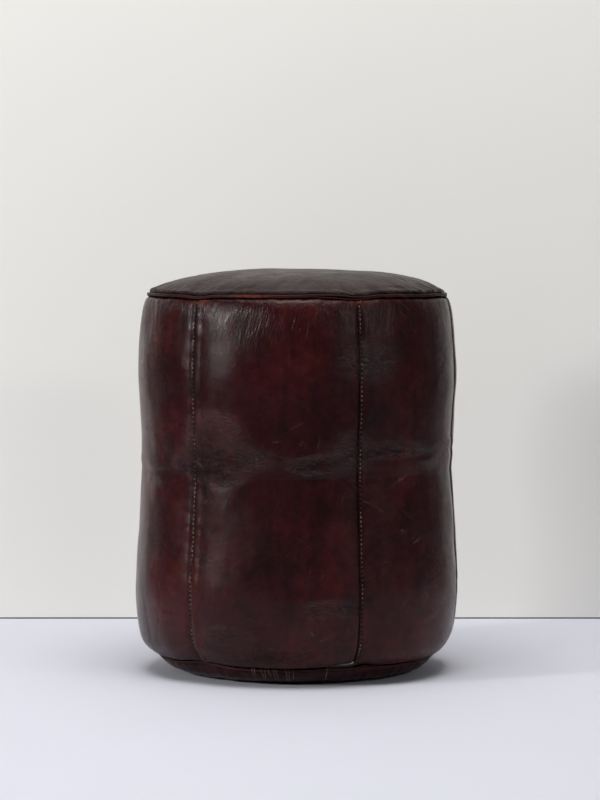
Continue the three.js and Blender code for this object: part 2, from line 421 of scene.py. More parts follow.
def wrinkling(theta, along):
    """How finely wrinkled the hide is, from 0 to 1: most of all in patches along the fold."""
    along_fold = hump(off_fold(theta, along), 0, 12)
    amount = 0.7 * along_fold * fade(2.2 * bumps(theta, along, 62, 34, 35) - 0.1)
    return np.clip(amount + in_patches(theta, SIDE.at(along)[1], WRINKLED_PATCHES), 0, 1)


def gathering(theta, along):
    """How much the hide is drawn into fine upright streaks: below the top seam, in patches."""
    patchy = fade(0.5 + 1.8 * bumps(theta, along, 60, 50, 46))
    return hump(SIDE.length - along, 0, 62) * (0.35 + 0.65 * patchy)


def side_relief(theta, along, sizes):
    """How far the side stands out from its outline, mm, and how much of that is fine creasing."""
    low, high = along, SIDE.length - along
    seam = from_seam(theta, sizes)
    near_seam = np.exp(-np.abs(seam) / 13)
    belly = -(sizes.scallop + 6.5 * np.exp(-low / 40) + 1.2 * np.exp(-high / 40)) * np.abs(
        2 * across_panel(theta, sizes) - 1
    ) ** 4
    belly = belly * fade((low - 9) / 26) * fade((high - 6) / 20)
    lumps = (
        1.7 * bumps(theta, along, 120, 130, 21)
        + 1.0 * bumps(theta, along, 52, 64, 22)
        + 0.3 * bumps(theta, along, 24, 28, 23)
    )
    lumps = lumps * fade(low / 40) * fade(high / 30)

    sway = along + 6 * bumps(theta, along, 40, 40, 24)
    puckers = near_seam * (
        0.55 * bumps(theta, sway, 36, 11, 25) + 0.16 * bumps(theta, sway, 18, 6, 26)
    )
    lean = theta + 2.2 * bumps(theta, along, 60, 34, 27)
    top_gathers = np.exp(-high / 30) * (
        1.15 * bumps(lean, along, 13, 60, 28) + 0.5 * bumps(lean, along, 6.5, 34, 29)
    )
    base_gathers = np.exp(-low / 18) * (
        0.7 * bumps(lean, along, 24, 45, 30) + 0.25 * bumps(lean, along, 11, 30, 31)
    )

    off = off_fold(theta, along)
    strength = 0.25 + 0.75 * fade(0.3 + 2.2 * waves(theta, 60, 34))
    fold = strength * (-0.3 * hump(off, 0, 2.2) + 0.8 * hump(off, 8, 6.5) + 0.6 * hump(off, -9, 8))
    wavering = theta + 2.6 * bumps(theta, along, 34, 14, 36)
    wrinkles = wrinkling(theta, along) * (
        -0.55 * lines(wavering, along, 40, 7.5, 37, 0.14)
        - 0.32 * lines(wavering, along, 22, 4.8, 38, 0.15)
        + 0.25 * bumps(wavering, along, 26, 6, 39)
    )
    old_creases = -0.3 * lines(
        theta + 4 * bumps(theta, along, 70, 70, 40), along, 66, 58, 41, 0.03
    ) * fade(2 * bumps(theta, along, 130, 110, 42) + 0.1)
    low_fold = along - SIDE.along_at_height(LOW_FOLD_HEIGHT)
    low_fold = low_fold - 6 * waves(theta, 60, 43)
    second_fold = fade(2.6 * waves(theta, 70, 44) - 0.3) * (
        -0.5 * hump(low_fold, 0, 1.8) + 0.5 * hump(low_fold, 6, 5)
    )
    groove = -0.9 * hump(seam, 0, 1.9) - 0.3 * hump(seam, 0, 7)
    fine = sizes.creasing * (
        puckers + top_gathers + base_gathers + fold + wrinkles + old_creases + second_fold
    )
    return belly + lumps + groove + fine, fine


# Where the dye lies thin (red, above 0) or has pooled (dark, below 0), as in_patches takes them.
DYE_PATCHES = (
    (3, 385, 10, 46, 0.75),
    (-9, 330, 9, 40, 0.35),
    (-52, 112, 10, 44, 0.8),
    (-9, 62, 15, 24, 0.45),
    (0, 175, 16, 60, -0.45),
    (13, 290, 7, 60, -0.4),
    (41, 325, 7, 62, 0.35),
    (26.5, 368, 2.2, 15, -0.9),
    (26.5, 322, 2.6, 17, -1.2),
    (25.5, 106, 2.0, 10, -1.2),
    (-60, 300, 12, 90, -0.35),
)


def dye_patches(theta, height):
    """How thin or thick the dye lies, from about -1 to 1."""
    clouds = 0.45 * bumps(theta, height, 90, 130, 91) + 0.3 * bumps(theta, height, 34, 90, 92)
    return clouds + in_patches(theta, height, DYE_PATCHES)


def crown_relief(theta, along, sizes):
    """How far the crown stands out from its outline, mm, and how much of that is fine creasing."""
    radius = CROWN.at(along)[0]
    x = radius * np.sin(np.radians(theta))
    y = -radius * np.cos(np.radians(theta))
    rim = np.abs(CROWN.length - 12 - along)
    lumps = fade(rim / 30) * (
        1.2 * flat_bumps(x, y, 95, 51)
        + 0.6 * flat_bumps(x, y, 42, 52)
        + 0.22 * flat_bumps(x, y, 19, 53)
    )
    lean = theta + 3.5 * bumps(theta, along, 120, 40, 54)
    gathers = np.exp(-rim / 26) * (
        2.2 * bumps(lean, along, 19, 60, 55) + 1.1 * bumps(lean, along, 9, 30, 56)
    )
    long_creases = -1.1 * np.exp(-rim / 55) * lines(
        lean, along, 58, 70, 57, 0.06
    ) * fade(2 * bumps(theta, along, 120, 60, 58) + 0.3)
    veins = -0.28 * np.exp(-((lattice_noise(x / 48 + 70, y / 30 + 70, 59) / 0.035) ** 2))
    middle = -1.3 * hump(radius, 0, 5.5)
    creases = gathers + long_creases + veins * fade(radius / 40)
    fine = sizes.creasing * fade(radius / 8) * creases
    return lumps + fine + middle, fine + middle


def base_relief(theta, along, sizes):
    """The same for the base, which is flat where it stands."""
    radius = BASE.at(along)[0]
    on_edge = fade((radius - BASE_FLAT) / 14)
    lean = theta + 1.5 * bumps(theta, along, 60, 30, 61)
    fine = sizes.creasing * on_edge * (
        0.7 * bumps(lean, along, 12, 40, 62) + 0.4 * bumps(theta, along, 30, 7, 63)
    )
    return fine - 0.2 * on_edge, fine


def on_drum(outline, theta, along, out):
    """Places at an angle and a length along an outline, moved outwards by so many mm."""
    radius, height, out_radius, out_height = outline.at(along)
    radius = radius + out * out_radius * fade(radius / 3)  # a pole stays on the axis
    height = height + out * out_height
    return round_the_drum(theta, radius, height)


def round_the_drum(theta, radius, height):
    """Points in mm from an angle, a radius and a height."""
    turn = np.radians(theta)
    return np.stack((radius * np.sin(turn), -radius * np.cos(turn), height), axis=-1)


def side_surface(theta, along, sizes, depth=0.0, lifted=1.0):
    """Points on the side, with the height that the seams have pulled its edges to."""
    relief, fine = side_relief(theta, along, sizes)
    points = on_drum(SIDE, theta, along, relief - depth)
    low = np.exp(-along / 34)
    high = np.exp(-(SIDE.length - along) / 30)
    points[..., 2] += (base_lip_shift(theta, sizes) + lifted * gape(theta, sizes)) * low
    points[..., 2] += top_lip_shift(theta, sizes) * high
    return points, fine


CROWN_LEAN = 2.0  # mm that the crown's dome sits off to one side


def crown_surface(theta, along, sizes, depth=0.0):
    """Points on the round top, whose rim goes up and down with the lip."""
    relief, fine = crown_relief(theta, along, sizes)
    rim = fade((along - 0.62 * CROWN.length) / (0.3 * CROWN.length))
    points = on_drum(CROWN, theta, along, relief - depth)
    points[..., 0] += CROWN_LEAN * (1 - rim)
    points[..., 2] += top_lip_shift(theta, sizes) * rim
    return points, fine


def base_surface(theta, along, sizes, depth=0.0):
    """Points on the base, which never goes below the floor."""
    relief, fine = base_relief(theta, along, sizes)
    points = on_drum(BASE, theta, along, relief - depth)
    shift = base_lip_shift(theta, sizes) * fade(points[..., 2] / BASE_LIP_FLOOR)
    points[..., 2] += shift * fade(along / (0.7 * BASE_FLAT))
    points[..., 2] = np.maximum(points[..., 2], depth)
    return points, fine


# ---------------------------------------------------------------- meshes


def settings():
    """The sizes and colours that are set in the scene."""
    return bpy.context.scene.pouf_sizes, bpy.context.scene.pouf_colours


def clear_selection():
    if bpy.context.object and bpy.context.object.mode != "OBJECT":
        bpy.ops.object.mode_set(mode="OBJECT")
    bpy.ops.object.select_all(action="DESELECT")


def grid_piece(name, columns, rows):
    """A flat grid to be laid on a surface: (object, column and row number of each vertex)."""
    clear_selection()
    bpy.ops.mesh.primitive_grid_add(x_subdivisions=columns - 1, y_subdivisions=rows - 1, size=2)
    piece = bpy.context.object
    piece.name = piece.data.name = name
    flat = np.empty(len(piece.data.vertices) * 3)
    piece.data.vertices.foreach_get("co", flat)
    flat = flat.reshape(-1, 3)
    if len(flat) != columns * rows:
        raise RuntimeError(f"{name}: the grid has {len(flat)} vertices and not {columns * rows}")
    column = np.rint((flat[:, 0] + 1) / 2 * (columns - 1)).astype(int)
    row = np.rint((flat[:, 1] + 1) / 2 * (rows - 1)).astype(int)
    return piece, column, row


def lay(piece, points, **attributes):
    """Moves a mesh's vertices to points in mm, and stores a value at each vertex."""
    piece.data.vertices.foreach_set("co", (points * MM).ravel())
    for name, values in attributes.items():
        layer = piece.data.attributes.new(name, "FLOAT", "POINT")
        layer.data.foreach_set("value", np.asarray(values, float))
    piece.data.update()


def map_uv(piece, across, along):
    """A UV map in metres: across the piece and along it."""
    loops = np.empty(len(piece.data.loops), int)
    piece.data.loops.foreach_get("vertex_index", loops)
    layer = piece.data.uv_layers.active or piece.data.uv_layers.new(name="UVMap")
    pairs = np.stack((across[loops], along[loops]), axis=-1) * MM
    layer.data.foreach_set("uv", pairs.ravel())


def close_seam():
    """Joins the vertices that meet where a grid has been rolled up."""
    bpy.ops.object.mode_set(mode="EDIT")
    bpy.ops.mesh.select_all(action="SELECT")
    bpy.ops.mesh.remove_doubles(threshold=0.00001)
    bpy.ops.object.mode_set(mode="OBJECT")


def thicken(piece, thickness):
    """Gives a sheet its thickness, inwards."""
    wall = piece.modifiers.new("Thickness", "SOLIDIFY")
    wall.thickness = thickness * MM
    wall.offset = -1
    bpy.ops.object.modifier_apply(modifier=wall.name)


def finish_piece(piece, material, slot, *nodes):
    """Shading, material, parenting to the root, and hiding the CAD parts that the piece replaces.
    """
    piece.data.materials.clear()
    piece.data.materials.append(material)
    bpy.ops.object.shade_smooth_by_angle(angle=math.radians(50))
    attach(piece, "root")
    if nodes:
        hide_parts(*nodes)
    return piece


def spaced(start, *stretches):
    """Places along a line from its start: each stretch of it is (its end, its spacing)."""
    places = [float(start)]
    for end, spacing in stretches:
        count = max(1, round((end - places[-1]) / spacing))
        places += list(np.linspace(places[-1], end, count + 1)[1:])
    return np.array(places)


# ---------------------------------------------------------------- materials


def feed(tree, socket, value):
    """Links a socket to the one that feeds it, or sets its value."""
    if isinstance(value, bpy.types.NodeSocket):
        tree.links.new(value, socket)
    elif socket.type == "RGBA" and len(value) == 3:
        socket.default_value = (*value, 1.0)
    else:
        socket.default_value = value


def add_node(tree, kind, inputs=(), **values):
    """A node with its settings, and its inputs given as values or as the sockets that feed them."""
    node = tree.nodes.new(kind)
    for name, value in values.items():
        setattr(node, name, value)
    for key, value in dict(inputs).items():
        feed(tree, node.inputs[key], value)
    return node


def math_node(tree, operation, *values, clamp=False):
    inputs = dict(enumerate(values))
    node = add_node(tree, "ShaderNodeMath", inputs, operation=operation, use_clamp=clamp)
    return node.outputs[0]


def scaled(tree, value, low, high, to_low=0.0, to_high=1.0):
    """A value stretched from one range to another, and held inside it."""
    node = add_node(
        tree,
        "ShaderNodeMapRange",
        {"Value": value, "From Min": low, "From Max": high, "To Min": to_low, "To Max": to_high},
        interpolation_type="SMOOTHSTEP",
    )
    return node.outputs["Result"]


def blend_colours(tree, factor, first, second, kind="MIX"):
    inputs = {0: factor, 6: first, 7: second}
    node = add_node(tree, "ShaderNodeMix", inputs, data_type="RGBA", blend_type=kind)
    return node.outputs[2]


def noise_node(tree, vector, scale, detail=3.0, roughness=0.55, distortion=0.0):
    node = add_node(
        tree,
        "ShaderNodeTexNoise",
        {
            "Vector": vector,
            "Scale": scale,
            "Detail": detail,
            "Roughness": roughness,
            "Distortion": distortion,
        },
    )
    return node.outputs["Fac"]


def stretch_vector(tree, vector, scale):
    return add_node(tree, "ShaderNodeMapping", {"Vector": vector, "Scale": scale}).outputs[0]


def new_group(name, inputs, outputs):
    """A shader node group: (group, its input sockets by name, its output node).

    The inputs' values say what they are: None for a vector, three numbers for a colour.
    """
    group = bpy.data.node_groups.new(name, "ShaderNodeTree")

    def socket(label, in_out, kind):
        return group.interface.new_socket(
            name=label, in_out=in_out, socket_type=f"NodeSocket{kind}"
        )

    for label, value in inputs.items():
        if value is None:
            socket(label, "INPUT", "Vector")
        elif isinstance(value, tuple):
            socket(label, "INPUT", "Color").default_value = (*value, 1.0)
        else:
            socket(label, "INPUT", "Float").default_value = value
    for label in outputs:
        socket(label, "OUTPUT", "Color" if label == "Color" else "Float")
    source = group.nodes.new("NodeGroupInput").outputs
    return group, source, group.nodes.new("NodeGroupOutput")


def times(tree, first, second, clamp=False):
    return math_node(tree, "MULTIPLY", first, second, clamp=clamp)


def times_plus(tree, first, second, more):
    """The first two multiplied, and more added."""
    return math_node(tree, "MULTIPLY_ADD", first, second, more)


def leather_grain_group():
    """Pebbled hide with pores: its height, and the darker dye that sits between the pebbles."""
    group, source, result = new_group(
        "Leather Grain", {"Vector": None, "Pebble Scale": 620.0}, ["Height", "Valleys"]
    )
    vector, scale = source["Vector"], source["Pebble Scale"]
    wander = add_node(
        group, "ShaderNodeTexNoise", {"Vector": vector, "Scale": 240.0, "Detail": 2.0}
    ).outputs["Color"]
    nudge = add_node(
        group,
        "ShaderNodeVectorMath",
        {0: wander, 1: (0.0016, 0.0016, 0.0016), 2: vector},
        operation="MULTIPLY_ADD",
    ).outputs[0]
    cells = add_node(
        group,
        "ShaderNodeTexVoronoi",
        {"Vector": nudge, "Scale": scale, "Randomness": 1.0},
        feature="DISTANCE_TO_EDGE",
    ).outputs["Distance"]
    pebble = scaled(group, cells, 0.0, 0.16)
    soft = noise_node(group, vector, 900.0, 2.0)
    swell = noise_node(group, vector, 130.0, 3.0)
    height = times(group, soft, 0.35)
    height = times_plus(group, pebble, 0.55, height)
    height = times_plus(group, swell, 0.9, height)
    group.links.new(height, result.inputs["Height"])
    group.links.new(math_node(group, "SUBTRACT", 1.0, pebble), result.inputs["Valleys"])
    return group


def off_middle(tree, field):
    """How far a noise is from its middle value, which lies along wandering lines."""
    return math_node(tree, "ABSOLUTE", math_node(tree, "SUBTRACT", field, 0.5))


WRINKLE_MEAN = 0.96  # mean height of the wrinkles: without it a patch of them has no rim


def hide_wrinkle_group():
    """Fine wrinkles that run round the drum, and long thin scratches: height and scratch mask."""
    group, source, result = new_group(
        "Hide Wrinkles",
        {"Vector": None, "Strength": 1.0, "Gathers": 0.0},
        ["Height", "Scratches"],
    )
    vector = source["Vector"]
    leaning = add_node(
        group, "ShaderNodeMapping", {"Vector": vector, "Rotation": (0.0, -0.28, 0.0)}
    ).outputs[0]
    upright = stretch_vector(group, leaning, (320.0, 320.0, 42.0))
    streaks = noise_node(group, upright, 1.0, 3.0, 0.65, 0.6)
    gathers = times(group, streaks, source["Gathers"])
    height = None
    for wide, tall, share in ((0.02, 0.0042, 1.0), (0.008, 0.0021, 0.6)):
        level = stretch_vector(group, vector, (1 / wide, 1 / wide, 1 / tall))
        field = noise_node(group, level, 1.0, 3.0, 0.6, 0.9)
        furrow = scaled(group, off_middle(group, field), 0.0, 0.1)
        height = times_plus(group, furrow, share, 0.0 if height is None else height)
    height = math_node(group, "SUBTRACT", height, WRINKLE_MEAN)
    height = times(group, height, source["Strength"])
    height = times_plus(group, gathers, 0.75, height)
    group.links.new(height, result.inputs["Height"])

    scratches = None
    for lean, seed in ((0.55, 3.0), (-0.7, 11.0), (1.35, 23.0)):
        turned = add_node(
            group,
            "ShaderNodeMapping",
            {"Vector": vector, "Rotation": (0.0, lean, 0.3 * lean), "Location": (seed, seed, seed)},
        ).outputs[0]
        drawn = stretch_vector(group, turned, (9.0, 14.0, 230.0))
        field = noise_node(group, drawn, 1.0, 0.0, 0.5, 0.25)
        thin = scaled(group, off_middle(group, field), 0.0, 0.012, 1.0, 0.0)
        where = scaled(group, noise_node(group, turned, 17.0, 2.0), 0.6, 0.68)
        mark = times(group, thin, where)
        scratches = mark if scratches is None else math_node(group, "MAXIMUM", scratches, mark)
    group.links.new(scratches, result.inputs["Scratches"])
    return group


def hand_dye_group():
    """Uneven hand dye: red where it is thin, dark where it pooled, with streaks down the hide."""
    group, source, result = new_group(
        "Hand Dye",
        {
            "Vector": None,
            "Main": (0.03, 0.01, 0.01),
            "Thin": (0.07, 0.01, 0.01),
            "Pooled": (0.01, 0.01, 0.01),
            "Streaks": 1.0,
            "Patches": 0.0,
        },
        ["Color"],
    )
    vector = source["Vector"]
    patches = source["Patches"]
    cloud = noise_node(group, vector, 9.0, 4.0, 0.62, 0.4)
    cloud = times_plus(group, patches, 0.16, cloud)
    blot = noise_node(group, vector, 21.0, 4.0, 0.6, 0.8)
    blot = times_plus(group, patches, -0.2, blot)
    fine = noise_node(group, vector, 95.0, 4.0, 0.65)
    down = stretch_vector(group, vector, (70.0, 70.0, 7.0))
    streak = noise_node(group, down, 1.0, 4.0, 0.6, 0.3)
    thin = times(group, scaled(group, cloud, 0.42, 0.7), 0.6)
    colour = blend_colours(group, thin, source["Main"], source["Thin"])
    pooled = times(group, scaled(group, blot, 0.5, 0.76), 0.6)
    colour = blend_colours(group, pooled, colour, source["Pooled"])
    streaked = scaled(group, streak, 0.45, 0.72)
    streaked = times(group, streaked, source["Streaks"])
    streaked = times(group, streaked, 0.4)
    colour = blend_colours(group, streaked, colour, source["Pooled"])
    light = scaled(group, fine, 0.3, 0.75, 0.78, 1.3)
    grey = add_node(
        group, "ShaderNodeCombineColor", {"Red": light, "Green": light, "Blue": light}
    )
    colour = blend_colours(group, 1.0, colour, grey.outputs[0], "MULTIPLY")
    group.links.new(colour, result.inputs["Color"])
    return group


CREASE_SHADE_COLOUR = (0.008, 0.004, 0.005)  # painted shade in the creases and along the seam lines
CREASE_HIGHLIGHT_COLOUR = (0.13, 0.065, 0.062)  # painted highlight on the raised creases
PORE_COLOUR = (0.01, 0.005, 0.006)
SCRATCH_COLOUR = (0.2, 0.12, 0.11)
# Painted shade in the stitch holes.
HOLE_SHADE_COLOUR = (0.001, 0.001, 0.001)


def fold_shading_and_wear_group():
    """Where leather is folded or rubbed: raised creases get a painted highlight, hollows painted
    shade, and rubbed edges go rusty.
    """
    group, source, result = new_group(
        "Fold Shading And Wear",
        {
            "Vector": None,
            "Color": (0.03, 0.01, 0.01),
            "Rub Color": (0.2, 0.05, 0.02),
            "Relief": 0.0,
            "Rub": 0.0,
        },
        ["Color"],
    )
    relief = source["Relief"]
    broken = noise_node(group, source["Vector"], 160.0, 4.0, 0.7)
    # Painted highlight on raised creases: the colour goes paler where the relief stands up.
    raised = scaled(group, relief, 0.25, 1.5)
    raised = times(group, raised, scaled(group, broken, 0.35, 0.65))
    raised = times(group, raised, 0.28)
    # Painted shade in hollows, creases and seam lines: the colour goes darker where the relief
    # sinks.
    crease_shade = scaled(group, times(group, relief, -1.0), 0.15, 1.3)
    crease_shade = times(group, crease_shade, 0.6)
    colour = blend_colours(group, crease_shade, source["Color"], CREASE_SHADE_COLOUR)
    colour = blend_colours(group, raised, colour, CREASE_HIGHLIGHT_COLOUR)
    broken = scaled(group, broken, 0.3, 0.6)
    worn = times(group, source["Rub"], broken, clamp=True)
    colour = blend_colours(group, worn, colour, source["Rub Color"])
    group.links.new(colour, result.inputs["Color"])
    return group


def shared_group(name, build):
    """The node group of that name, built the first time that it is wanted."""
    return bpy.data.node_groups.get(name) or build()


def use_group(tree, group, inputs):
    """Places a group with its values or sockets: its outputs."""
    return add_node(tree, "ShaderNodeGroup", inputs, node_tree=group).outputs


def new_material(name):
    """(material, tree, Principled shader, object coordinates)."""
    material = bpy.data.materials.new(name)
    material.use_nodes = True
    tree = material.node_tree
    shader = tree.nodes["Principled BSDF"]
    place = tree.nodes.new("ShaderNodeTexCoord").outputs["Object"]
    return material, tree, shader, place


def attribute(tree, name):
    """A value that lay() stored at the vertices."""
    return add_node(tree, "ShaderNodeAttribute", attribute_name=name).outputs["Fac"]


def stitch_hole_group():
    """Where the stitches of a side seam go in, beside a panel's left edge: a mask of the pits,
    which leather_material dents and darkens as painted shade.
    """
    group, source, result = new_group(
        "Stitch Holes", {"Inset": 0.003, "Pitch": 0.005, "First": 0.0}, ["Hole"]
    )
    uv = group.nodes.new("ShaderNodeUVMap").outputs[0]
    split = add_node(group, "ShaderNodeSeparateXYZ", {"Vector": uv}).outputs
    pitch = source["Pitch"]
    above_first = math_node(group, "SUBTRACT", split["Y"], source["First"])
    count = math_node(group, "DIVIDE", above_first, pitch)
    part = math_node(group, "FRACT", math_node(group, "ADD", count, 0.5))
    up = times(group, math_node(group, "SUBTRACT", part, 0.5), pitch)
    off = math_node(group, "SUBTRACT", split["X"], source["Inset"])
    squares = [math_node(group, "POWER", side, 2.0) for side in (off, up)]
    reach = math_node(group, "SQRT", math_node(group, "ADD", *squares))
    group.links.new(scaled(group, reach, 0.0007, 0.0014, 1.0, 0.0), result.inputs["Hole"])
    return group


def leather_material(
    name, main, thin, pooled, rub, roughness, streaks=1.0, holes=False, gloss=1.27
):
    """Dyed, waxed hide: its gloss is the wax's refractive index."""
    found = bpy.data.materials.get(name)
    if found:
        return found
    material, tree, shader, place = new_material(name)
    # The relief attribute paints shade into hollows and seam lines and a highlight onto raised
    # creases; rub is real wear.
    relief, rubbed = attribute(tree, "relief"), attribute(tree, "rub")
    dye = use_group(
        tree,
        shared_group("Hand Dye", hand_dye_group),
        {
            "Vector": place,
            "Main": main,
            "Thin": thin,
            "Pooled": pooled,
            "Streaks": streaks,
            "Patches": attribute(tree, "dye"),
        },
    )
    shading_and_wear = use_group(
        tree,
        shared_group("Fold Shading And Wear", fold_shading_and_wear_group),
        {"Vector": place, "Color": dye["Color"], "Rub Color": rub, "Relief": relief, "Rub": rubbed},
    )
    grain = use_group(tree, shared_group("Leather Grain", leather_grain_group), {"Vector": place})
    hide = use_group(
        tree,
        shared_group("Hide Wrinkles", hide_wrinkle_group),
        {
            "Vector": place,
            "Strength": attribute(tree, "wrinkled"),
            "Gathers": attribute(tree, "gathered"),
        },
    )
    dusk = times(tree, grain["Valleys"], 0.3)
    colour = blend_colours(tree, dusk, shading_and_wear["Color"], PORE_COLOUR)
    scratched = times(tree, hide["Scratches"], 0.3)
    colour = blend_colours(tree, scratched, colour, SCRATCH_COLOUR)
    height = hide["Height"]
    if holes:
        sizes = settings()[0]
        inset, pitch = sizes.stitch_inset * MM, sizes.stitch_pitch * MM
        hole = use_group(
            tree,
            shared_group("Stitch Holes", stitch_hole_group),
            {"Inset": inset, "Pitch": pitch, "First": FIRST_STITCH * MM},
        )["Hole"]
        # Painted shade in the stitch holes: the pits are darkened nearly to black.
        hole_shade = times(tree, hole, 0.9)
        colour = blend_colours(tree, hole_shade, colour, HOLE_SHADE_COLOUR)
        height = times_plus(tree, hole, -1.5, height)
    tree.links.new(colour, shader.inputs["Base Color"])

    patchy = noise_node(tree, place, 34.0, 4.0, 0.6)
    rough = scaled(tree, patchy, 0.3, 0.7, roughness - 0.05, roughness + 0.07)
    rough = times_plus(tree, grain["Valleys"], 0.06, rough)
    rough = math_node(tree, "MULTIPLY_ADD", rubbed, 0.12, rough, clamp=True)
    tree.links.new(rough, shader.inputs["Roughness"])
    shader.inputs["IOR"].default_value = gloss

    fine = add_node(
        tree, "ShaderNodeBump", {"Height": grain["Height"], "Strength": 0.25, "Distance": 0.0003}
    )
    bump = add_node(
        tree,
        "ShaderNodeBump",
        {"Height": height, "Strength": 0.9, "Distance": 0.0021, "Normal": fine.outputs[0]},
    )
    tree.links.new(bump.outputs[0], shader.inputs["Normal"])
    return material


def thread_material(name, colour, dark, clean):
    """Waxed plied thread, soiled with dye except where the noise is below clean."""
    found = bpy.data.materials.get(name)
    if found:
        return found
    material, tree, shader, place = new_material(name)
    uv = tree.nodes.new("ShaderNodeUVMap").outputs[0]
    ply = add_node(
        tree,
        "ShaderNodeTexWave",
        {"Vector": uv, "Scale": 420.0, "Distortion": 0.4, "Detail": 1.0},
        bands_direction="DIAGONAL",
    ).outputs["Fac"]
    soil = scaled(tree, noise_node(tree, place, 38.0, 4.0), clean, clean + 0.2)
    shade = blend_colours(tree, soil, colour, dark)
    shade = blend_colours(tree, times(tree, ply, 0.35), shade, dark)
    tree.links.new(shade, shader.inputs["Base Color"])
    rough = scaled(tree, ply, 0.0, 1.0, 0.6, 0.85)
    tree.links.new(rough, shader.inputs["Roughness"])
    bump = add_node(tree, "ShaderNodeBump", {"Height": ply, "Strength": 0.6, "Distance": 0.0002})
    tree.links.new(bump.outputs[0], shader.inputs["Normal"])
    return material


def cloth_material(name, colour, thread_size):
    """Plain-woven cloth."""
    found = bpy.data.materials.get(name)
    if found:
        return found
    material, tree, shader, place = new_material(name)
    uv = tree.nodes.new("ShaderNodeUVMap").outputs[0]
    turns = 1 / (thread_size * 2 * math.pi) * 0.5
    weave = []
    for direction in ("X", "Y"):
        node = add_node(
            tree,
            "ShaderNodeTexWave",
            {"Vector": uv, "Scale": turns, "Distortion": 0.6, "Detail": 1.0},
            bands_direction=direction,
        )
        weave.append(node.outputs["Fac"])
    height = math_node(tree, "MAXIMUM", *weave)
    stain = scaled(tree, noise_node(tree, place, 12.0, 4.0), 0.4, 0.75)
    shade = blend_colours(tree, stain, colour, [0.72 * c for c in colour])
    # Painted shade between the woven threads: the low parts of the weave are darkened.
    between = math_node(tree, "SUBTRACT", 0.5, times(tree, height, 0.5))
    shade = blend_colours(tree, between, shade, [0.45 * c for c in colour])
    tree.links.new(shade, shader.inputs["Base Color"])
    rough = scaled(tree, height, 0.0, 1.0, 0.98, 0.86)
    tree.links.new(rough, shader.inputs["Roughness"])
    bump = add_node(tree, "ShaderNodeBump", {"Height": height, "Strength": 0.5, "Distance": 0.0002})
    tree.links.new(bump.outputs[0], shader.inputs["Normal"])
    return material


def side_leather(colours):
    dyes = colours.side, colours.side_red, colours.side_dark, colours.rub
    return leather_material("Side leather", *dyes, 0.22, holes=True)


def base_leather(colours):
    dyes = colours.side, colours.side_red, colours.side_dark, colours.rub
    return leather_material("Base leather", *dyes, 0.32, 0.5)


def crown_leather(colours):
    thin = [1.5 * c for c in colours.crown]
    dyes = colours.crown, thin, colours.side_dark, colours.rub
    return leather_material("Top leather", *dyes, 0.34, 0.2, gloss=1.22)


def seam_thread(colours):
    return thread_material("Seam thread", colours.seam_thread, (0.018, 0.01, 0.01), 0.36)


def lip_leather(colours):
    dyes = colours.side, colours.side_red, colours.side_dark, colours.rub
    return leather_material("Lip leather", *dyes, 0.5, 0.4)


# ---------------------------------------------------------------- operators


class POUF_OT_side_panels(bpy.types.Operator):
    """Six upright leather panels, each lapped over the one before it"""

    bl_idname = "pouf.side_panels"
    bl_label = "Side Panels"

    def execute(self, context):
        sizes, colours = settings()
        material = side_leather(colours)
        edges = seam_angles(sizes) - sizes.stitch_inset / ARC
        ends = np.append(edges[1:], edges[0] + 360)
        below_fold = (14, 1.1), (60, 1.7), (FOLD_ALONG - 34, 2.2)
        above_fold = (SIDE.length - 60, 2.2), (SIDE.length - 14, 1.5), (SIDE.length, 1.1)
        rows = spaced(0, *below_fold, (FOLD_ALONG + 34, 1.3), *above_fold)
        for number, (edge, end) in enumerate(zip(edges, ends), start=1):
            reach = (end - edge) * ARC + sizes.lap - 0.3
            columns = spaced(0, (1.0, 0.5), (15, 1.0), (reach - 20, 2.2), (reach, 1.3))
            piece, column, row = grid_piece(f"side_leather_{number}", len(columns), len(rows))
            across, along = columns[column], rows[row]
            theta = edge + across / ARC
            past_next = across - reach + sizes.lap  # mm past the edge that lies on this panel
            raised = LAP_STEP * (1 - fade((across - sizes.lap + 1) / 9))
            cut_edge = 0.4 * (1 - fade(across / 1.2))
            pressed = (sizes.leather + 0.1 - LAP_STEP) * fade((past_next + 5) / 5)
            depth = cut_edge + pressed - raised
            points, fine = side_surface(theta, along, sizes, depth)
            beside_seam = fade(1.2 * seam_pull(theta - 1, 22, sizes) - 0.2)
            rub = 0.5 * hump(SIDE.length - along, 12, 7) * beside_seam
            # Edge dye and painted shadow: the panel's cut left edge is darkened as dye, while the
            # line where the next panel's edge lies on it and the stitch row are darkened as painted
            # shade, through the relief attribute.
            edge_dye_and_seam_shade = np.exp(-across / 0.6) + 0.9 * hump(past_next, 0, 0.9)
            edge_dye_and_seam_shade = edge_dye_and_seam_shade + 0.5 * hump(across, sizes.stitch_inset, 1.0)
            lay(
                piece,
                points,
                relief=fine - 1.6 * edge_dye_and_seam_shade,
                rub=np.clip(rub, 0, 1),
                wrinkled=wrinkling(theta, along),
                gathered=gathering(theta, along),
                dye=dye_patches(theta, points[:, 2]),
            )
            map_uv(piece, across, along)
            thicken(piece, sizes.leather)
            finish_piece(piece, material, "side_leather", f"side_panel_{number}")
        return {"FINISHED"}


def no_rub(theta, along):
    return 0 * theta


def top_rub(theta, along):
    """How far the dye is worn off the top, in patches round its rim."""
    patches = fade(1.6 * waves(theta, 60, 72) - 0.5)
    return 0.5 * hump(CROWN.length - 17 - along, 0, 6) * patches


